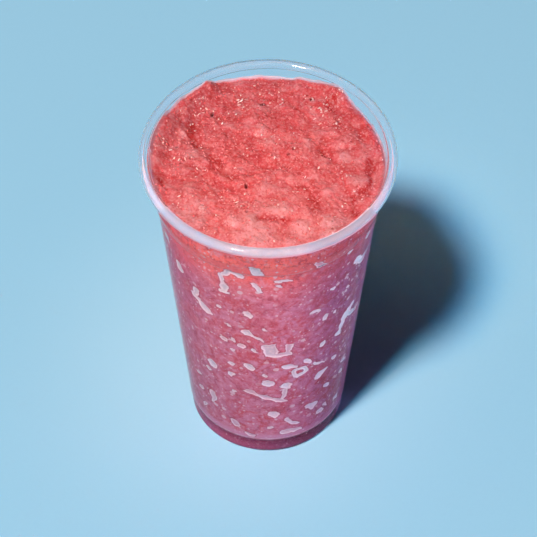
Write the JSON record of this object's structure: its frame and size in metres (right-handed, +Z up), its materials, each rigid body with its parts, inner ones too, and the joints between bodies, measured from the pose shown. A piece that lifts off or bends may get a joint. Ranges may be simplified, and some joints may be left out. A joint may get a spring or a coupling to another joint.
{
  "type": "cup of raspado",
  "caption": "Tall clear cold cup with a rolled rim and a narrow foot, filled nearly to the brim with red shaved-ice raspado whose top is scooped and lumpy.",
  "frame": {"origin": "centre of the cup's foot, on the surface that the cup stands on", "axes": "+Z up along the cup's axis, -Y towards the usual viewer, +X to that viewer's right"},
  "size_m": [0.098, 0.098, 0.15],
  "materials": {
    "clear_plastic": "clear, smooth and glossy",
    "shaved_ice": "moist, grainy, with small glints"
  },
  "bodies": {
    "root": {"cup": "clear_plastic", "raspado": "shaved_ice"}
  },
  "joints": []
}
